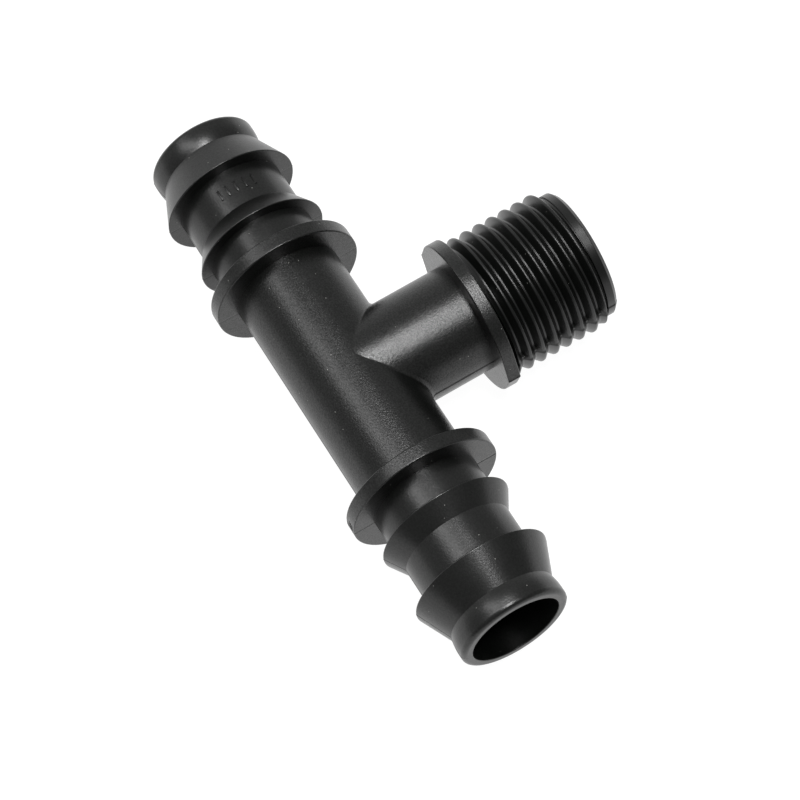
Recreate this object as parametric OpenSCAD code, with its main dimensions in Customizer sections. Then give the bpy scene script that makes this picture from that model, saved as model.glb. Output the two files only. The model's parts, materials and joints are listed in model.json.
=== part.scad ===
// Barbed tee connector: two double-barbed hose tails in line, and a male threaded branch square to them.
// Run along X, branch along +Y, origin where the two axes cross, parting plane at Z = 0. Millimetres.

/* [Waterway] */
// Diameter of the waterway through the run
run_bore_d = 13.2; // [10:0.1:16]
// How much smaller the branch waterway is than the run's, on the radius
branch_bore_step = 0.1; // [0.05:0.05:1.5]
// Wall of the plain tubes, run and branch
tube_wall = 1.4; // [1:0.05:2.5]
// Distance from the centre to the face of each run collar
run_reach = 17.8; // [13:0.1:30]
// Distance from the centre to the face of the branch collar
branch_reach = 18.05; // [13:0.05:30]

/* [Collars] */
// How far each run collar stands out from the neck
run_collar_h = 3.2; // [1.5:0.1:6]
// Thickness of each run collar
run_collar_t = 2.15; // [1:0.05:5]
// How far the branch collar stands out past the thread crests
branch_collar_h = 0.8; // [0.2:0.1:4]
// Thickness of the branch collar
branch_collar_t = 1.9; // [1:0.1:5]
// How far the branch collar's corners stand out on the parting plane, as a multiple of its radius
collar_corner = 1.05; // [1.01:0.01:1.12]

/* [Hose tails] */
// Wall of the plain necks
neck_wall = 1.35; // [1:0.05:2.5]
// Length of the neck between collar and inner barb
inner_neck_l = 5.15; // [2:0.05:12]
// Height of the inner barb's crest over the neck
inner_barb_h = 1.85; // [0.8:0.05:3]
// Length of the inner barb's cone
inner_barb_l = 3.15; // [1.5:0.05:6]
// Length of the neck between the two barbs
outer_neck_l = 6; // [2:0.1:14]
// Height of the outer barb's crest over the neck
outer_barb_h = 2.15; // [0.8:0.05:3]
// Length of the outer barb's cone
outer_barb_l = 5.35; // [2:0.05:8]
// Wall at the groove between the outer barb and the nose
groove_wall = 1; // [0.8:0.05:2.5]
// Wall of the plain nose
nose_wall = 1.5; // [1:0.05:2.5]
// Length of the nose, from the groove to the open end
nose_l = 3.6; // [3:0.1:10]
// Length of the flare that leads out of the groove onto the nose
nose_flare_l = 1.3; // [0.3:0.05:2]
// Radius of the rounded outer lip at the open end
lip_r = 0.7; // [0.3:0.05:0.9]

/* [Male thread] */
// Diameter over the thread crests
thread_d = 20.95; // [17.4:0.05:26]
// Height of the thread ridge
thread_h = 1.175; // [0.6:0.025:1.45]
// Axial distance from one turn to the next
thread_pitch = 2.08; // [1.72:0.01:3]
// Length of the threaded stem, from collar to lead-in ring
stem_l = 15.6; // [10:0.1:30]
// Width of the flat on the thread crest
crest_w = 0.42; // [0.2:0.01:0.8]
// Slope of each thread flank from square to the axis, in degrees
flank_angle = 27.5; // [15:0.5:34]
// Angle round the branch at which the ridge starts, in degrees from the parting plane
thread_start = 75; // [0:7.5:352.5]
// Length of the plain lead-in ring beyond the thread
lead_in_l = 1.65; // [0.7:0.05:4]
// How far the lead-in ring stands out past the thread root
lead_in_h = 0.2; // [0.05:0.05:0.6]
// Width of the chamfer on the lead-in ring
lead_in_chamfer = 0.55; // [0.1:0.05:0.65]

/* [Hidden] */
$fn = 96;
body_colour = [0.12, 0.12, 0.12];
// Extra length of a cutting cylinder past the face it opens
overrun = 1;
run_tube_d = run_bore_d + 2 * tube_wall;
branch_bore_d = run_bore_d - 2 * branch_bore_step;
branch_tube_d = branch_bore_d + 2 * tube_wall;
neck_d = run_bore_d + 2 * neck_wall;
run_collar_d = neck_d + 2 * run_collar_h;
inner_barb_d = neck_d + 2 * inner_barb_h;
outer_barb_d = neck_d + 2 * outer_barb_h;
groove_d = run_bore_d + 2 * groove_wall;
nose_d = run_bore_d + 2 * nose_wall;
root_d = thread_d - 2 * thread_h;
lead_in_d = root_d + 2 * lead_in_h;
branch_collar_d = thread_d + 2 * branch_collar_h;
outer_neck_x = inner_neck_l + inner_barb_l;
outer_barb_x = outer_neck_x + outer_neck_l;
nose_x = outer_barb_x + outer_barb_l;
tail_start = run_reach + run_collar_t;
stem_start = branch_reach + branch_collar_t;
thread_steps = 48;
// Plain length left at each end of the stem before the ridge begins
thread_clear = 0.15;
// Share of a turn over which the ridge rises from, and sinks to, the root
thread_fade = 0.4;
// Height of the ridge where it starts and stops
thread_stub_h = 0.06;
flank_w = thread_h * tan(flank_angle);
ridge_w = crest_w + 2 * flank_w;
turns = (stem_l - 2 * thread_clear - ridge_w) / thread_pitch;
steps = floor(turns * thread_steps);
// The ridge foot clears the round root by the sag of one chord, so the two solids only touch
foot_r = root_d / 2 / cos(180 / thread_steps);

function fade(i) = min(1, min(i, steps - i) / (thread_fade * thread_steps));
function crest_r(i) = foot_r + thread_stub_h + (thread_d / 2 - foot_r - thread_stub_h) * fade(i);
function ridge_z(i) = thread_clear + ridge_w / 2 + i * thread_pitch / thread_steps;
function ridge_point(i, r, dz) =
    [r * cos(i * 360 / thread_steps), r * sin(i * 360 / thread_steps), ridge_z(i) + dz];
function ridge_section(i) = [ridge_point(i, foot_r, -ridge_w / 2),
                             ridge_point(i, crest_r(i), -crest_w / 2),
                             ridge_point(i, crest_r(i), crest_w / 2),
                             ridge_point(i, foot_r, ridge_w / 2)];
function ridge_points() = [for (i = [0:steps]) for (p = ridge_section(i)) p];
function ridge_walls() = [for (i = [0:steps - 1]) for (j = [0:3]) for (half = [0:1])
    half == 0 ? [4 * i + j, 4 * i + (j + 1) % 4, 4 * i + 4 + j]
              : [4 * i + (j + 1) % 4, 4 * i + 4 + (j + 1) % 4, 4 * i + 4 + j]];
function ridge_ends() = [[0, 3, 2], [0, 2, 1],
                         [4 * steps, 4 * steps + 1, 4 * steps + 2],
                         [4 * steps, 4 * steps + 2, 4 * steps + 3]];

// Turns a shape drawn up Z so that it points along +X
module along_run() {
    rotate([0, 90, 0])
        children();
}

// Turns a shape drawn up Z so that it points along +Y
module along_branch() {
    rotate([-90, 0, 0])
        children();
}

// Ring with its foot at z, tapering from one outside diameter to the other
module ring(z, length, d_start, d_end, bore_d) {
    rotate_extrude()
        polygon([[bore_d / 2, z], [d_start / 2, z], [d_end / 2, z + length], [bore_d / 2, z + length]]);
}

// Nose of a tail: short flare out of the groove, plain nose, rounded lip, open end
module nose_shape() {
    end_z = nose_x + nose_l;
    rotate_extrude()
        union() {
            polygon([[run_bore_d / 2, nose_x],
                     [groove_d / 2, nose_x],
                     [nose_d / 2, nose_x + nose_flare_l],
                     [nose_d / 2, end_z - lip_r],
                     [nose_d / 2 - lip_r, end_z - lip_r],
                     [nose_d / 2 - lip_r, end_z],
                     [run_bore_d / 2, end_z]]);
            translate([nose_d / 2 - lip_r, end_z - lip_r])
                circle(r = lip_r);
        }
}

// Moves a tail shape from its own foot to the outer face of the run collar
module on_tail() {
    translate([tail_start, 0, 0])
        along_run()
            children();
}

module on_stem() {
    translate([0, stem_start, 0])
        along_branch()
            children();
}

module run_collar_shape() {
    translate([run_reach, 0, 0])
        along_run()
            ring(0, run_collar_t, run_collar_d, run_collar_d, run_bore_d);
}

module run_tube() {
    color(body_colour)
        difference() {
            translate([-run_reach, 0, 0])
                along_run()
                    cylinder(h = 2 * run_reach, d = run_tube_d);
            translate([-run_reach - overrun, 0, 0])
                along_run()
                    cylinder(h = 2 * (run_reach + overrun), d = run_bore_d);
            along_branch()
                cylinder(h = run_tube_d, d = branch_bore_d);
        }
}

module branch_tube() {
    color(body_colour)
        difference() {
            along_branch()
                cylinder(h = branch_reach, d = branch_tube_d);
            along_branch()
                cylinder(h = branch_reach + overrun, d = branch_bore_d);
            translate([-run_tube_d, 0, 0])
                along_run()
                    cylinder(h = 2 * run_tube_d, d = run_tube_d);
        }
}

module left_collar() {
    color(body_colour)
        mirror([1, 0, 0])
            run_collar_shape();
}

module left_inner_neck() {
    color(body_colour)
        mirror([1, 0, 0])
            on_tail()
                ring(0, inner_neck_l, neck_d, neck_d, run_bore_d);
}

module left_inner_barb() {
    color(body_colour)
        mirror([1, 0, 0])
            on_tail()
                ring(inner_neck_l, inner_barb_l, inner_barb_d, neck_d, run_bore_d);
}

module left_outer_neck() {
    color(body_colour)
        mirror([1, 0, 0])
            on_tail()
                ring(outer_neck_x, outer_neck_l, neck_d, neck_d, run_bore_d);
}

module left_outer_barb() {
    color(body_colour)
        mirror([1, 0, 0])
            on_tail()
                ring(outer_barb_x, outer_barb_l, outer_barb_d, groove_d, run_bore_d);
}

module left_nose() {
    color(body_colour)
        mirror([1, 0, 0])
            on_tail()
                nose_shape();
}

module right_collar() {
    color(body_colour)
        run_collar_shape();
}

module right_inner_neck() {
    color(body_colour)
        on_tail()
            ring(0, inner_neck_l, neck_d, neck_d, run_bore_d);
}

module right_inner_barb() {
    color(body_colour)
        on_tail()
            ring(inner_neck_l, inner_barb_l, inner_barb_d, neck_d, run_bore_d);
}

module right_outer_neck() {
    color(body_colour)
        on_tail()
            ring(outer_neck_x, outer_neck_l, neck_d, neck_d, run_bore_d);
}

module right_outer_barb() {
    color(body_colour)
        on_tail()
            ring(outer_barb_x, outer_barb_l, outer_barb_d, groove_d, run_bore_d);
}

module right_nose() {
    color(body_colour)
        on_tail()
            nose_shape();
}

// Round collar with a shallow corner at each end of the parting plane
module branch_collar() {
    corner_angle = acos(1 / collar_corner);
    corner_r = branch_collar_d / 2;
    color(body_colour)
        translate([0, branch_reach, 0])
            along_branch()
                difference() {
                    linear_extrude(height = branch_collar_t)
                        union() {
                            circle(r = corner_r);
                            polygon([[corner_r * collar_corner, 0],
                                     [corner_r * cos(corner_angle), corner_r * sin(corner_angle)],
                                     [-corner_r * cos(corner_angle), corner_r * sin(corner_angle)],
                                     [-corner_r * collar_corner, 0],
                                     [-corner_r * cos(corner_angle), -corner_r * sin(corner_angle)],
                                     [corner_r * cos(corner_angle), -corner_r * sin(corner_angle)]]);
                        }
                    translate([0, 0, -overrun])
                        cylinder(h = branch_collar_t + 2 * overrun, d = branch_bore_d);
                }
}

module threaded_stem() {
    color(body_colour)
        on_stem()
            ring(0, stem_l, root_d, root_d, branch_bore_d);
}

// Right-hand ridge wound round the stem
module thread_ridge() {
    color(body_colour)
        on_stem()
            rotate([0, 0, thread_start])
                polyhedron(points = ridge_points(), faces = concat(ridge_walls(), ridge_ends()));
}

module lead_in_ring() {
    color(body_colour)
        on_stem()
            rotate_extrude()
                polygon([[branch_bore_d / 2, stem_l],
                         [lead_in_d / 2, stem_l],
                         [lead_in_d / 2, stem_l + lead_in_l - lead_in_chamfer],
                         [lead_in_d / 2 - lead_in_chamfer, stem_l + lead_in_l],
                         [branch_bore_d / 2, stem_l + lead_in_l]]);
}

run_tube();
branch_tube();
left_collar();
left_inner_neck();
left_inner_barb();
left_outer_neck();
left_outer_barb();
left_nose();
right_collar();
right_inner_neck();
right_inner_barb();
right_outer_neck();
right_outer_barb();
right_nose();
branch_collar();
threaded_stem();
thread_ridge();
lead_in_ring();
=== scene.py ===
"""Barbed tee connector: the moulded skin, its plastics, and a white light tent round it."""

import json
import math

import bmesh
import bpy
from mathutils import Matrix, Vector


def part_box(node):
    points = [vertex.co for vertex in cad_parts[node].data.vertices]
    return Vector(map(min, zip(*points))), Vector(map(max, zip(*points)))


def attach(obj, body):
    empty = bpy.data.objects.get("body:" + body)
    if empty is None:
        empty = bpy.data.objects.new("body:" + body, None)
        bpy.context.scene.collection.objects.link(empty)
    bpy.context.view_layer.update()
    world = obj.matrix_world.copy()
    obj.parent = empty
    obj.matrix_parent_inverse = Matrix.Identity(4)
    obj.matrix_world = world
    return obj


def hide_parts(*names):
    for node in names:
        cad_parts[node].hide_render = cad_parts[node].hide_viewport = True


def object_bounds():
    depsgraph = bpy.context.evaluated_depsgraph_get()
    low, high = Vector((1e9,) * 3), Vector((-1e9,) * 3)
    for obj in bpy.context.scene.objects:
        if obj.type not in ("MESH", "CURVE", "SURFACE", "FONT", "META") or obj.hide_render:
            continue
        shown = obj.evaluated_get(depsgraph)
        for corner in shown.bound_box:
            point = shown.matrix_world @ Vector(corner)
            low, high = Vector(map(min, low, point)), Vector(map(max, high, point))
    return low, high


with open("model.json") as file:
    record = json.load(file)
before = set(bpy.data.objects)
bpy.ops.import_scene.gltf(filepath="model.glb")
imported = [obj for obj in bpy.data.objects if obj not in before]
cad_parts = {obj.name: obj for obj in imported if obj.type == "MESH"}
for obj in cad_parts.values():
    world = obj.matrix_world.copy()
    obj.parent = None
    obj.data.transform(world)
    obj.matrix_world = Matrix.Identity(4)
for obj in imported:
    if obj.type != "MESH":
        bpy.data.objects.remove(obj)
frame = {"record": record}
cad_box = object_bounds()

MM = 0.001
TURN = 2 * math.pi

# How finely round pieces are cut
ROUND_STEPS = 192
ARC_STEPS = 5
THREAD_STEPS = 144
FILLET_STEPS = 10
# Points beside each arc that keep the flat faces next to it shaded flat
ARC_SUPPORT = 0.02 * MM
# Edges sharper than this keep a hard crease in the shading
CREASE = math.radians(38)
# Corners closer than this are one corner
MERGE = 0.0005 * MM

# Small radii that the mould leaves on its edges
COLLAR_EDGE = 0.18 * MM
BARB_EDGE = 0.13 * MM
LIP_EDGE = 0.70 * MM
CHAMFER_EDGE = 0.12 * MM
SADDLE_FILLET = 0.85 * MM
# Length of the nose's flare, and the radius that blends it into the round
NOSE_FLARE = 1.30 * MM
NOSE_ROUND = 8.0 * MM
LEAD_IN_CHAMFER = 0.55 * MM
# The saddle's foot dips under the run tube's skin so that no gap shows
SADDLE_SINK = 0.012 * MM
SADDLE_SPREAD = 0.10 * MM

# Where the two mould halves meet, at z = 0: flash on round surfaces, a hairline groove on flat ones
PARTING_WIDTH = 0.11 * MM
FLASH = 0.035 * MM
FAINT_WITNESS = 0.012 * MM
DEEP_WITNESS = 0.08 * MM
# A point is on a flat surface when the cosine between its normal and the piece's axis is above this
FLAT = 0.95
# Points this close to the wall of a waterway are left as they are
BORE_WALL = 0.2 * MM
# Points this close to the parting plane are on it
ON_PLANE = 0.001 * MM
# How far the lower half of the branch's mould sits towards +X of the upper half
MISMATCH = 0.09 * MM


# ---------------------------------------------------------------- sizes from the frame
def x_span(node):
    low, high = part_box(node)
    return low.x, high.x


def radius(node):
    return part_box(node)[1].z


RUN_TUBE_R = radius("run_tube")
BRANCH_TUBE_R = radius("branch_tube")
NECK_R = radius("right_inner_neck")
RUN_COLLAR_R = radius("right_collar")
BRANCH_COLLAR_R = radius("branch_collar")
COLLAR_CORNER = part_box("branch_collar")[1].x / BRANCH_COLLAR_R
STEM_R = radius("threaded_stem")
CREST_R = radius("thread_ridge")
LEAD_IN_R = radius("lead_in_ring")
NOSE_R = radius("right_nose")
COLLAR_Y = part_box("branch_collar")[0].y
STEM_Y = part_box("threaded_stem")[0].y
STEM_END_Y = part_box("threaded_stem")[1].y
BRANCH_END_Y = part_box("lead_in_ring")[1].y
BORE_MOUNTS = [mount for mount in frame["record"]["mounts"] if mount["kind"] == "bore"]
BORES = {mount["name"]: mount["dims"]["r_mm"] * MM for mount in BORE_MOUNTS}
RUN_BORE_R = BORES["run_bore"]
BRANCH_BORE_R = BORES["branch_bore"]
# Wall left at the groove behind the nose: 0.2 mm more than in the CAD, because the corner there is softened
GROOVE_WALL = 1.2 * MM
GROOVE_R = RUN_BORE_R + GROOVE_WALL


# ---------------------------------------------------------------- mesh helpers
def rounded(corners):
    """Outline through corners of (along, out, corner radius), with each rounded corner as an arc."""
    points = []
    for i, (along, out, r) in enumerate(corners):
        here = Vector((along, out))
        if not r:
            points.append(here)
            continue
        before = Vector(corners[i - 1][:2]) - here
        after = Vector(corners[(i + 1) % len(corners)][:2]) - here
        half = before.angle(after) / 2
        centre = here + (before.normalized() + after.normalized()).normalized() * r / math.sin(half)
        start = here + before.normalized() * r / math.tan(half) - centre
        end = here + after.normalized() * r / math.tan(half) - centre
        sweep = start.angle(end)
        points.append(centre + start + before.normalized() * ARC_SUPPORT)
        for k in range(ARC_STEPS + 1):
            t = k / ARC_STEPS
            spoke = start * math.sin((1 - t) * sweep) + end * math.sin(t * sweep)
            points.append(centre + spoke / math.sin(sweep))
        points.append(centre + end + after.normalized() * ARC_SUPPORT)
    return points


def spun(outline, axis):
    """Closed outline spun about X or Y, with each vertex keeping its place in the outline."""
    bm = bmesh.new()
    row = bm.verts.layers.int.new("row")
    verts = []
    for k, (along, out) in enumerate(outline):
        v = bm.verts.new((along, 0, out) if axis == "X" else (out, along, 0))
        v[row] = k
        verts.append(v)
    for a, b in zip(verts, verts[1:] + verts[:1]):
        bm.edges.new((a, b))
    about = (1, 0, 0) if axis == "X" else (0, 1, 0)
    bmesh.ops.spin(bm, geom=bm.verts[:] + bm.edges[:], cent=(0, 0, 0), axis=about,
                   angle=TURN, steps=ROUND_STEPS, use_merge=True)
    bmesh.ops.remove_doubles(bm, verts=bm.verts, dist=MERGE)
    bmesh.ops.recalc_face_normals(bm, faces=bm.faces)
    return bm


def slice_at(bm, axis, *places):
    """Adds an edge loop where the mesh crosses each place along an axis."""
    for place in places:
        bmesh.ops.bisect_plane(bm, geom=bm.verts[:] + bm.edges[:] + bm.faces[:],
                               plane_co=[place if a == axis else 0 for a in "XYZ"],
                               plane_no=[1 if a == axis else 0 for a in "XYZ"])


def parting(bm, axis, bore_r, mismatch=0.0, witness=FAINT_WITNESS, flash=FLASH):
    """Marks the parting plane on the outside of a round piece, and shifts its lower half by the mismatch."""
    slice_at(bm, "Z", -PARTING_WIDTH / 2, 0, PARTING_WIDTH / 2)
    bm.normal_update()
    along = Vector((1, 0, 0)) if axis == "X" else Vector((0, 1, 0))
    moves = []
    for v in bm.verts:
        out = v.co - along * v.co.dot(along)
        if out.length < bore_r + BORE_WALL:
            continue
        if abs(v.co.z) < ON_PLANE:
            flat = abs(v.normal.dot(along)) > FLAT
            moves.append((v, v.normal * -witness if flat else out.normalized() * flash))
        if v.co.z < -PARTING_WIDTH / 4:
            moves.append((v, Vector((mismatch, 0, 0))))
    for v, move in moves:
        v.co += move


def piece(name, bm, material, slot, *nodes):
    """Turns a bmesh into a finished piece that stands for the named CAD nodes."""
    for face in bm.faces:
        face.smooth = True
    for edge in bm.edges:
        edge.smooth = edge.calc_face_angle(math.pi) < CREASE
    mesh = bpy.data.meshes.new(name)
    bm.to_mesh(mesh)
    bm.free()
    mesh.materials.append(material)
    made = bpy.data.objects.new(name, mesh)
    bpy.context.scene.collection.objects.link(made)
    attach(made, "root")
    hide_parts(*nodes)


# ---------------------------------------------------------------- materials
def linear(code):
    """sRGB hex to linear colour."""
    parts = [int(code[i:i + 2], 16) / 255 for i in (1, 3, 5)]
    return [p / 12.92 if p <= 0.04045 else ((p + 0.055) / 1.055) ** 2.4 for p in parts] + [1.0]


def add(tree, kind, settings=None, **inputs):
    """Adds a node, sets its properties and sockets, and links any socket given another node's output."""
    node = tree.nodes.new(kind)
    for key, value in (settings or {}).items():
        setattr(node, key, value)
    for key, value in inputs.items():
        socket = node.inputs[key.replace("_", " ")]
        if isinstance(value, bpy.types.NodeSocket):
            tree.links.new(value, socket)
        else:
            socket.default_value = value
    return node


# Refractive index of polypropylene
PLASTIC_IOR = 1.49
# Stretch of the grain's noise over which the reflectance runs from that of its pits to that of its peaks
PIT_AT, PEAK_AT = 0.35, 0.65
# Stretch of the mottling's noise over which the surface runs from its shiniest to its dullest
SHINY_AT, DULL_AT = 0.3, 0.7


def polypropylene(name, low, high, roughness, gloss_spread, grain_mm, grain_depth_mm, sparkle,
                  reflectance):
    """Black polypropylene: grain as bump and sparkle, mottled colour and gloss, a few pale specks of dust."""
    material = bpy.data.materials.new(name)
    material.use_nodes = True
    tree = material.node_tree
    shader = tree.nodes["Principled BSDF"]
    place = add(tree, "ShaderNodeTexCoord").outputs["Object"]
    grain = add(tree, "ShaderNodeTexNoise",
                Vector=place, Scale=1 / (grain_mm * MM), Detail=3.0, Roughness=0.6).outputs["Fac"]
    mottle = add(tree, "ShaderNodeTexNoise",
                 Vector=place, Scale=1 / (MOTTLE * MM), Detail=4.0, Roughness=0.55).outputs["Fac"]
    specks = add(tree, "ShaderNodeTexVoronoi", Vector=place, Scale=1 / (SPECK_GAP * MM))
    speck = add(tree, "ShaderNodeMapRange", Value=specks.outputs["Distance"],
                From_Min=SPECK_R / SPECK_GAP * SPECK_CORE, From_Max=SPECK_R / SPECK_GAP,
                To_Min=1.0, To_Max=0.0)
    tone = add(tree, "ShaderNodeMix", {"data_type": "RGBA"}, Factor=mottle)
    tone.inputs[6].default_value = linear(low)
    tone.inputs[7].default_value = linear(high)
    dusty = add(tree, "ShaderNodeMix", {"data_type": "RGBA"}, Factor=speck.outputs["Result"])
    tree.links.new(tone.outputs[2], dusty.inputs[6])
    dusty.inputs[7].default_value = linear(DUST)
    gloss = add(tree, "ShaderNodeMapRange", Value=mottle, From_Min=SHINY_AT, From_Max=DULL_AT,
                To_Min=roughness - gloss_spread, To_Max=roughness + gloss_spread)
    bump = add(tree, "ShaderNodeBump", Height=grain, Strength=1.0, Distance=grain_depth_mm * MM)
    tree.links.new(dusty.outputs[2], shader.inputs["Base Color"])
    tree.links.new(gloss.outputs["Result"], shader.inputs["Roughness"])
    tree.links.new(bump.outputs["Normal"], shader.inputs["Normal"])
    shader.inputs["IOR"].default_value = PLASTIC_IOR
    shader.inputs["Specular IOR Level"].default_value = reflectance
    if sparkle:
        # The floors of the grain's pits reflect less than its peaks
        glint = add(tree, "ShaderNodeMapRange", Value=grain, From_Min=PIT_AT, From_Max=PEAK_AT,
                    To_Min=reflectance * (1 - sparkle), To_Max=reflectance * (1 + sparkle))
        tree.links.new(glint.outputs["Result"], shader.inputs["Specular IOR Level"])
    return material


# Size of the mottling, gap between specks of dust and their radius, all in millimetres
MOTTLE = 2.6
SPECK_GAP = 1.6
SPECK_R = 0.08
# Share of a speck's radius that is solid dust before it fades out
SPECK_CORE = 0.5
DUST = "#8c8c88"

# Polypropylene from a spark-eroded cavity: a matt, sandy grain that sparkles in the light
grained = polypropylene("spark_eroded_polypropylene", "#060706", "#0c0d0c", roughness=0.285,
                        gloss_spread=0.01, grain_mm=0.23, grain_depth_mm=0.030, sparkle=0.29,
                        reflectance=0.5)
# Polypropylene from a turned and stoned cavity: smoother and a little silky
satin = polypropylene("stoned_polypropylene", "#060706", "#0c0d0c", roughness=0.29,
                      gloss_spread=0.015, grain_mm=0.26, grain_depth_mm=0.016, sparkle=0.14,
                      reflectance=0.5)
# Polypropylene from a polished thread cavity: darker, with hardly any grain
glossy = polypropylene("polished_polypropylene", "#040504", "#090a09", roughness=0.31,
                       gloss_spread=0.02, grain_mm=0.30, grain_depth_mm=0.004, sparkle=0.0,
                       reflectance=0.40)


# ---------------------------------------------------------------- run and branch tubes
def drilled(bm, bore_r, reach):
    """Cuts the branch waterway out of a bmesh along +Y, and returns the cut bmesh."""
    mesh = bpy.data.meshes.new("uncut")
    bm.to_mesh(mesh)
    bm.free()
    body = bpy.data.objects.new("uncut", mesh)
    tool = bmesh.new()
    lie = Matrix.Translation((0, reach / 2, 0)) @ Matrix.Rotation(-math.pi / 2, 4, "X")
    bmesh.ops.create_cone(tool, cap_ends=True, segments=ROUND_STEPS, radius1=bore_r, radius2=bore_r,
                          depth=reach, matrix=lie)
    tool_mesh = bpy.data.meshes.new("drill")
    tool.to_mesh(tool_mesh)
    tool.free()
    drill = bpy.data.objects.new("drill", tool_mesh)
    for part in (body, drill):
        bpy.context.scene.collection.objects.link(part)
    cut = body.modifiers.new("cut", "BOOLEAN")
    cut.operation = "DIFFERENCE"
    cut.solver = "EXACT"
    cut.object = drill
    bpy.context.view_layer.update()
    result = bmesh.new()
    result.from_object(body, bpy.context.evaluated_depsgraph_get())
    bpy.data.objects.remove(body)
    bpy.data.objects.remove(drill)
    return result


def run_tube():
    left, right = x_span("run_tube")
    outline = [(left, RUN_BORE_R), (left, RUN_TUBE_R), (right, RUN_TUBE_R), (right, RUN_BORE_R)]
    bm = spun(outline, "X")
    bm = drilled(bm, BRANCH_BORE_R, 2 * RUN_TUBE_R)
    parting(bm, "X", RUN_BORE_R)
    piece("run_tube_skin", bm, grained, "grained_plastic", "run_tube")


def on_run(radius_out, phi, run_r):
    """Point on the run's surface at angle phi round the branch, radius_out from the branch axis."""
    x, z = radius_out * math.cos(phi), radius_out * math.sin(phi)
    return Vector((x, math.sqrt(run_r ** 2 - z ** 2), z))


def branch_tube():
    """Branch tube whose foot rolls onto the run through a fillet of constant radius."""
    def fillet(phi, t):
        ball = on_run(BRANCH_TUBE_R + SADDLE_FILLET, phi, RUN_TUBE_R + SADDLE_FILLET)
        on_branch = Vector((math.cos(phi), 0, math.sin(phi))) * -1
        down = Vector((0, ball.y, ball.z)).normalized() * -1
        return ball + down.slerp(on_branch, t) * SADDLE_FILLET

    def sunk(phi):
        ball = on_run(BRANCH_TUBE_R + SADDLE_FILLET, phi, RUN_TUBE_R + SADDLE_FILLET)
        turn = math.atan2(ball.z, ball.y) + math.sin(phi) * SADDLE_SPREAD / RUN_TUBE_R
        out = RUN_TUBE_R - SADDLE_SINK
        return Vector((ball.x + math.cos(phi) * SADDLE_SPREAD, out * math.cos(turn), out * math.sin(turn)))

    def straight(r, y):
        return lambda phi: Vector((r * math.cos(phi), y, r * math.sin(phi)))

    rows = [straight(BRANCH_BORE_R, COLLAR_Y),
            lambda phi: on_run(BRANCH_BORE_R, phi, RUN_TUBE_R - 2 * SADDLE_SINK),
            sunk]
    rows += [lambda phi, t=k / FILLET_STEPS: fillet(phi, t) for k in range(FILLET_STEPS + 1)]
    rows += [straight(BRANCH_TUBE_R, COLLAR_Y)]
    outline = [(k, 1 + k % 2) for k in range(len(rows))]
    bm = spun(outline, "Y")
    row = bm.verts.layers.int["row"]
    for v in bm.verts:
        v.co = rows[v[row]](math.atan2(v.co.z, v.co.x))
    bmesh.ops.recalc_face_normals(bm, faces=bm.faces)
    parting(bm, "Y", BRANCH_BORE_R, MISMATCH)
    piece("branch_tube_skin", bm, grained, "grained_plastic", "branch_tube")


# ---------------------------------------------------------------- collars
def run_collar(side):
    node = f"{side}_collar"
    low, high = x_span(node)
    outline = rounded([(low, RUN_BORE_R, 0), (low, RUN_COLLAR_R, COLLAR_EDGE),
                       (high, RUN_COLLAR_R, COLLAR_EDGE), (high, RUN_BORE_R, 0)])
    bm = spun(outline, "X")
    # The collars' rims are trimmed, which leaves a groove in place of the flash
    witness = DEEP_WITNESS if side == "right" else FAINT_WITNESS
    parting(bm, "X", RUN_BORE_R, witness=witness, flash=-FLASH)
    if side == "right":
        nick(bm, low, high)
    piece(f"{node}_skin", bm, grained, "grained_plastic", node)


# Torn flash: its height and depth, and the number of strips that the rim is cut into to carry it
NICK_HEIGHT = 1.7 * MM
NICK_DEPTH = 0.30 * MM
NICK_STRIPS_ACROSS = 8
NICK_STRIPS_UP = 6
# How fast the tear rises and falls across the rim and up it, in radians per metre
TEAR_ACROSS = 9100
TEAR_UP = 12700
# Share of the collar's radius beyond which a point is on its rim
RIM = 0.9


def nick(bm, low, high):
    """Torn flash on the rim, beside the parting plane on the -Y side."""
    width = high - low
    slice_at(bm, "X", *(low + width * k / NICK_STRIPS_ACROSS for k in range(2, NICK_STRIPS_ACROSS - 1)))
    slice_at(bm, "Z", *(NICK_HEIGHT * k / NICK_STRIPS_UP for k in range(1, NICK_STRIPS_UP)))
    for v in bm.verts:
        if v.co.y > -RUN_COLLAR_R * RIM or not 0 < v.co.z < NICK_HEIGHT:
            continue
        across = 1 - abs(2 * (v.co.x - low) / width - 1)
        tear = abs(math.sin(v.co.x * TEAR_ACROSS) + math.sin(v.co.z * TEAR_UP + 1)) / 2
        v.co.y += NICK_DEPTH * across * tear


def branch_collar():
    """Round collar drawn out into a shallow corner where it crosses the parting plane."""
    outline = rounded([(COLLAR_Y, BRANCH_BORE_R, 0), (COLLAR_Y, BRANCH_COLLAR_R, COLLAR_EDGE),
                       (STEM_Y, BRANCH_COLLAR_R, COLLAR_EDGE), (STEM_Y, BRANCH_BORE_R, 0)])
    bm = spun(outline, "Y")
    tangent = math.acos(1 / COLLAR_CORNER)
    for v in bm.verts:
        out = math.hypot(v.co.x, v.co.z)
        if out < BRANCH_TUBE_R:
            continue
        off = abs(math.atan2(v.co.z, abs(v.co.x)))
        if off < tangent:
            stretch = 1 / math.cos(tangent - off)
            v.co.x *= stretch
            v.co.z *= stretch
    parting(bm, "Y", BRANCH_BORE_R, MISMATCH)
    piece("branch_collar_skin", bm, grained, "grained_plastic", "branch_collar")


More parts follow.
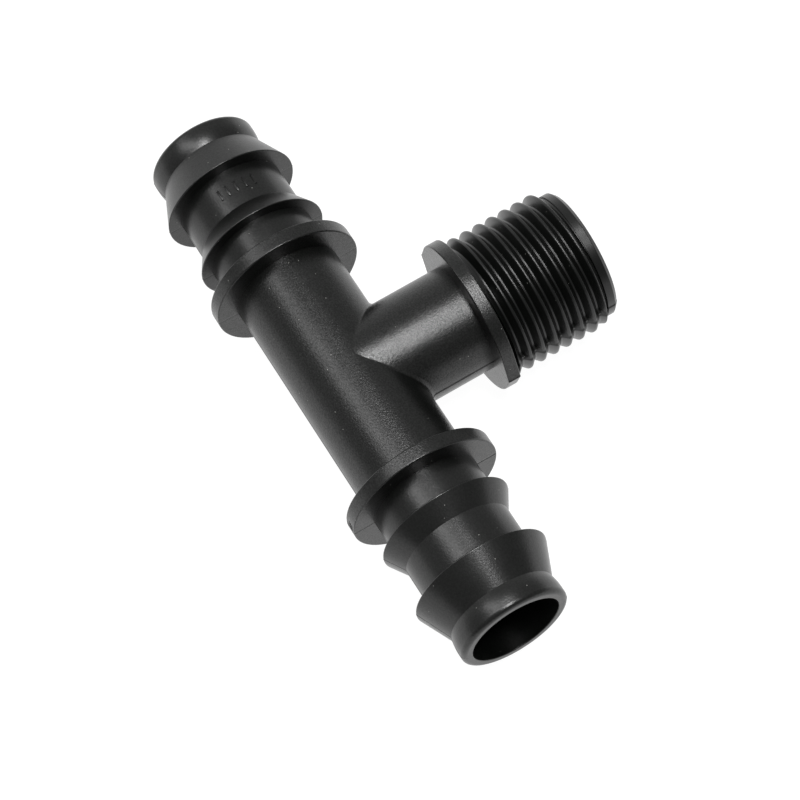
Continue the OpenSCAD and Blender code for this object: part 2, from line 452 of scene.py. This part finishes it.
# ---------------------------------------------------------------- hose tails
def hose_tail(side):
    """Neck, barb, neck, barb and nose, each spun from its own outline, ends meeting face to face."""
    sign = 1 if side == "right" else -1

    def ends(node):
        low, high = x_span(f"{side}_{node}")
        return (low, high) if sign > 0 else (high, low)

    def section(node, start_r, end_r, edge=0, marked=False):
        start, end = ends(node)
        outline = rounded([(start, RUN_BORE_R, 0), (start, start_r, edge),
                           (end, end_r, 0), (end, RUN_BORE_R, 0)])
        bm = spun(outline, "X")
        parting(bm, "X", RUN_BORE_R)
        if marked:
            raised_bars(bm, (start + end) / 2)
        piece(f"{side}_{node}_skin", bm, satin, "satin_plastic", f"{side}_{node}")

    section("inner_neck", NECK_R, NECK_R)
    section("inner_barb", radius(f"{side}_inner_barb"), NECK_R, BARB_EDGE)
    section("outer_neck", NECK_R, NECK_R, marked=side == "left")
    section("outer_barb", radius(f"{side}_outer_barb"), GROOVE_R, BARB_EDGE)
    start, end = ends("nose")
    outline = rounded([(start, RUN_BORE_R, 0), (start, GROOVE_R, 0),
                       (start + sign * NOSE_FLARE, NOSE_R, NOSE_ROUND),
                       (end, NOSE_R, LIP_EDGE), (end, RUN_BORE_R, CHAMFER_EDGE)])
    bm = spun(outline, "X")
    parting(bm, "X", RUN_BORE_R)
    piece(f"{side}_nose_skin", bm, satin, "satin_plastic", f"{side}_nose")


# Angles of the bars from +Z towards +Y, in degrees, and their sizes
BAR_ANGLES = (-17, -8, 2, 12, 22)
BAR_LENGTH = 1.7 * MM
BAR_WIDTH = 0.36 * MM
BAR_HEIGHT = 0.14 * MM
BAR_SINK = 0.10 * MM
BAR_EDGE = 0.08 * MM


def raised_bars(bm, middle):
    """Five low raised bars on the upper side of the neck, in the place of a size mark."""
    for angle in BAR_ANGLES:
        turn = Matrix.Rotation(math.radians(-angle), 4, "X") @ Matrix.Translation(
            (middle, 0, NECK_R + (BAR_HEIGHT - BAR_SINK) / 2))
        size = Matrix.Diagonal((BAR_LENGTH, BAR_WIDTH, BAR_HEIGHT + BAR_SINK, 1))
        made = bmesh.ops.create_cube(bm, size=1, matrix=turn @ size)
        edges = {e for v in made["verts"] for e in v.link_edges}
        bmesh.ops.bevel(bm, geom=list(edges), offset=BAR_EDGE, segments=2, profile=0.5,
                        affect="EDGES", material=-1)


# ---------------------------------------------------------------- threaded branch
PITCH = 2.07 * MM
# Height along the branch at which a crest crosses the +X side of the parting plane
CREST_AT = 20.50 * MM
CREST_HALF = 0.16 * MM
CREST_ROUND = 0.20 * MM
ROOT_ROUND = 0.09 * MM
# Flatter than the 27.5 degrees of the CAD, which leaves a narrower root
FLANK = math.radians(32)
# Spare teeth in the row below its first crest and above the stem: what passes the stem's ends is cut off
SPARE_BELOW = 3
SPARE_ABOVE = 3
# Plain length at each end of the row of teeth
ROW_END = 0.2 * PITCH
# Corners of the thread closer than this are one corner
THREAD_MERGE = 0.002 * MM
# Edges this close to an end of the stem are at it
AT_END = 0.01 * MM
# The grooves' share of their full depth below the parting plane, from the first angle to the second,
# in degrees of height round the branch. They are back at full depth by the third
SHALLOW = 0.60
SHALLOW_FROM = 3.0
SHALLOW_TO = -38.0
SHALLOW_END = -60.0
# Share of a pitch over which the ridge rises from the stem or sinks back into it
RUN_OUT = 0.35
# Plain stem before the ridge starts to rise and after it has sunk
RIDGE_START = 0.10 * MM
RIDGE_END = 0.15 * MM


def thread_corners(centre):
    """Corners of one tooth as (along, out, corner radius): foot, two sides of the crest, foot."""
    foot = CREST_HALF + (CREST_R - STEM_R) * math.tan(FLANK)
    return [(centre - foot, STEM_R, ROOT_ROUND), (centre - CREST_HALF, CREST_R, CREST_ROUND),
            (centre + CREST_HALF, CREST_R, CREST_ROUND), (centre + foot, STEM_R, ROOT_ROUND)]


def groove_depth(x, z):
    """Share of the full groove depth at a place round the branch."""
    above = math.degrees(math.atan2(z, abs(x)))
    if above >= SHALLOW_FROM:
        return 1
    back = max(0.0, min(1.0, (SHALLOW_TO - above) / (SHALLOW_TO - SHALLOW_END)))
    return SHALLOW + (1 - SHALLOW) * back


def ridge_share(y):
    """Share of the ridge's full height at a place along the branch: it rises and sinks smoothly."""
    rise = (y - STEM_Y - RIDGE_START) / (RUN_OUT * PITCH)
    sink = (STEM_END_Y - RIDGE_END - y) / (RUN_OUT * PITCH)
    share = max(0.0, min(1.0, rise, sink))
    return share * share * (3 - 2 * share)


def male_thread():
    """Right-hand ridge and stem as one skin: a row of teeth spun one turn while it climbs one pitch."""
    first = CREST_AT - SPARE_BELOW * PITCH
    count = math.ceil((STEM_END_Y - first) / PITCH) + SPARE_ABOVE
    teeth = [corner for k in range(count) for corner in thread_corners(first + k * PITCH)]
    bottom = (teeth[0][0] - ROW_END, STEM_R, 0)
    top = (teeth[-1][0] + ROW_END, STEM_R, 0)
    bm = bmesh.new()
    verts = [bm.verts.new((out, along, 0)) for along, out in rounded([bottom, *teeth, top])]
    edges = [bm.edges.new(pair) for pair in zip(verts, verts[1:])]
    bmesh.ops.spin(bm, geom=verts + edges, cent=(0, 0, 0), axis=(0, 1, 0),
                   dvec=(0, PITCH / THREAD_STEPS, 0), angle=TURN, steps=THREAD_STEPS)
    bmesh.ops.remove_doubles(bm, verts=bm.verts, dist=THREAD_MERGE)
    for y, outward in ((STEM_Y, -1), (STEM_END_Y, 1)):
        bmesh.ops.bisect_plane(bm, geom=bm.verts[:] + bm.edges[:] + bm.faces[:], plane_co=(0, y, 0),
                               plane_no=(0, outward, 0), clear_outer=True)
    for v in bm.verts:
        out = math.hypot(v.co.x, v.co.z)
        shallowed = CREST_R - (CREST_R - out) * groove_depth(v.co.x, v.co.z)
        wanted = STEM_R + (shallowed - STEM_R) * ridge_share(v.co.y)
        v.co.x *= wanted / out
        v.co.z *= wanted / out
    upright = Matrix.Rotation(math.pi / 2, 4, "X")
    for y in (STEM_Y, STEM_END_Y):
        open_edges = [e for e in bm.edges if e.is_boundary]
        rim = [e for e in open_edges if all(abs(v.co.y - y) < AT_END for v in e.verts)]
        hole = bmesh.ops.create_circle(bm, segments=ROUND_STEPS, radius=BRANCH_BORE_R,
                                       matrix=Matrix.Translation((0, y, 0)) @ upright)
        inner = list({e for v in hole["verts"] for e in v.link_edges})
        bmesh.ops.bridge_loops(bm, edges=rim + inner)
    bore = [e for e in bm.edges if e.is_boundary]
    bmesh.ops.bridge_loops(bm, edges=bore)
    bmesh.ops.recalc_face_normals(bm, faces=bm.faces)
    parting(bm, "Y", BRANCH_BORE_R, MISMATCH)
    piece("male_thread_skin", bm, glossy, "thread_plastic", "threaded_stem", "thread_ridge")


def lead_in():
    """Plain ring at the branch's open end, chamfered outside."""
    outline = rounded([(STEM_END_Y, BRANCH_BORE_R, 0), (STEM_END_Y, LEAD_IN_R, 0),
                       (BRANCH_END_Y - LEAD_IN_CHAMFER, LEAD_IN_R, CHAMFER_EDGE),
                       (BRANCH_END_Y, LEAD_IN_R - LEAD_IN_CHAMFER, CHAMFER_EDGE),
                       (BRANCH_END_Y, BRANCH_BORE_R, CHAMFER_EDGE)])
    bm = spun(outline, "Y")
    parting(bm, "Y", BRANCH_BORE_R, MISMATCH)
    piece("lead_in_skin", bm, glossy, "thread_plastic", "lead_in_ring")


# ---------------------------------------------------------------- the set
# The camera's lens and sensor in millimetres, its place, and the directions of its right side and its back
LENS = 130.5
SENSOR = 36
CAMERA_PLACE = Vector((170.45, -58.86, 354.69)) * MM
CAMERA_RIGHT = Vector((0.50559, 0.85888, -0.08182))
CAMERA_BACK = Vector((0.41517, -0.15907, 0.89573))
CAMERA_CLIP = 0.01


def camera():
    """Long lens looking down on the tee, with the run falling away from upper left to lower right."""
    data = bpy.data.cameras.new("camera")
    data.lens = LENS
    data.sensor_width = SENSOR
    data.clip_start = CAMERA_CLIP
    view = bpy.data.objects.new("camera", data)
    right = CAMERA_RIGHT.normalized()
    back = CAMERA_BACK.normalized()
    up = back.cross(right).normalized()
    right = up.cross(back)
    turn = Matrix((right, up, back)).transposed()
    view.matrix_world = Matrix.Translation(CAMERA_PLACE) @ turn.to_4x4()
    bpy.context.scene.collection.objects.link(view)
    bpy.context.scene.camera = view


# Distance of every lamp from the origin, in metres
LAMP_DISTANCE = 0.7


def softbox(name, direction, width, height, radiance):
    """Oblong area light that faces the tee from a direction, at a given surface brightness."""
    data = bpy.data.lights.new(name, "AREA")
    data.shape = "RECTANGLE"
    data.size, data.size_y = width, height
    data.energy = radiance * width * height * math.pi
    lamp = bpy.data.objects.new(name, data)
    towards = Vector(direction).normalized()
    lamp.location = towards * LAMP_DISTANCE
    lamp.rotation_euler = towards.to_track_quat("Z", "Y").to_euler()
    bpy.context.scene.collection.objects.link(lamp)


# White acrylic sheet lit from below, which hides most of the contact shadow: half its side in metres,
# the grey that it reflects, its roughness and its glow
SHEET_HALF = 3.0
SHEET_GREY = "#606060"
SHEET_ROUGHNESS = 0.7
SHEET_GLOW = 0.97


def floor():
    """The sheet, level with the bottom of the tee."""
    bm = bmesh.new()
    bmesh.ops.create_grid(bm, x_segments=1, y_segments=1, size=SHEET_HALF,
                          matrix=Matrix.Translation((0, 0, cad_box[0].z)))
    mesh = bpy.data.meshes.new("floor")
    bm.to_mesh(mesh)
    bm.free()
    material = bpy.data.materials.new("backlit_white_acrylic")
    material.use_nodes = True
    shader = material.node_tree.nodes["Principled BSDF"]
    shader.inputs["Base Color"].default_value = linear(SHEET_GREY)
    shader.inputs["Roughness"].default_value = SHEET_ROUGHNESS
    shader.inputs["Specular IOR Level"].default_value = 0.0
    shader.inputs["Emission Color"].default_value = linear("#ffffff")
    shader.inputs["Emission Strength"].default_value = SHEET_GLOW
    mesh.materials.append(material)
    sheet = bpy.data.objects.new("floor", mesh)
    bpy.context.scene.collection.objects.link(sheet)


# Brightness of the tent's walls, the extra towards -X, and the share of it that is left straight overhead
WALL_BASE = 0.235
WALL_SWING = 0.70
WALL_TOP = 0.42
# Brightness of the tent's ends at -Y and +Y against its sides
WALL_ENDS = 0.55


def surroundings():
    """Tent walls: bright low down towards -X, falling off overhead, towards +X and towards the ends in Y."""
    world = bpy.data.worlds.new("light_tent")
    world.use_nodes = True
    tree = world.node_tree
    place = add(tree, "ShaderNodeTexCoord").outputs["Generated"]
    towards = add(tree, "ShaderNodeSeparateXYZ", Vector=place).outputs
    side = add(tree, "ShaderNodeMapRange", Value=towards["X"],
               From_Min=-1.0, From_Max=1.0, To_Min=WALL_SWING, To_Max=0.0)
    height = add(tree, "ShaderNodeMapRange", Value=towards["Z"],
                 From_Min=0.0, From_Max=1.0, To_Min=1.0, To_Max=WALL_TOP)
    swing = add(tree, "ShaderNodeMath", {"operation": "MULTIPLY_ADD"})
    tree.links.new(side.outputs["Result"], swing.inputs[0])
    tree.links.new(height.outputs["Result"], swing.inputs[1])
    swing.inputs[2].default_value = WALL_BASE
    square = add(tree, "ShaderNodeMath", {"operation": "MULTIPLY"})
    tree.links.new(towards["Y"], square.inputs[0])
    tree.links.new(towards["Y"], square.inputs[1])
    dim = add(tree, "ShaderNodeMapRange", Value=square.outputs["Value"],
              From_Min=0.0, From_Max=1.0, To_Min=1.0, To_Max=WALL_ENDS)
    strength = add(tree, "ShaderNodeMath", {"operation": "MULTIPLY"})
    tree.links.new(swing.outputs["Value"], strength.inputs[0])
    tree.links.new(dim.outputs["Result"], strength.inputs[1])
    background = tree.nodes["Background"]
    background.inputs["Color"].default_value = linear("#ffffff")
    tree.links.new(strength.outputs["Value"], background.inputs["Strength"])
    bpy.context.scene.world = world
    bpy.context.scene.view_settings.view_transform = "Standard"


run_tube()
branch_tube()
run_collar("left")
run_collar("right")
branch_collar()
hose_tail("left")
hose_tail("right")
male_thread()
lead_in()
camera()
floor()
surroundings()
softbox("overhead_near", direction=(-0.06, 0.10, 0.98), width=0.065, height=0.16, radiance=63.0)
softbox("overhead_far", direction=(0.25, 0.10, 0.96), width=0.065, height=0.16, radiance=63.0)
softbox("left_soft", direction=(-0.26, -0.28, 0.91), width=0.17, height=0.58, radiance=5.0)

bpy.context.view_layer.update()
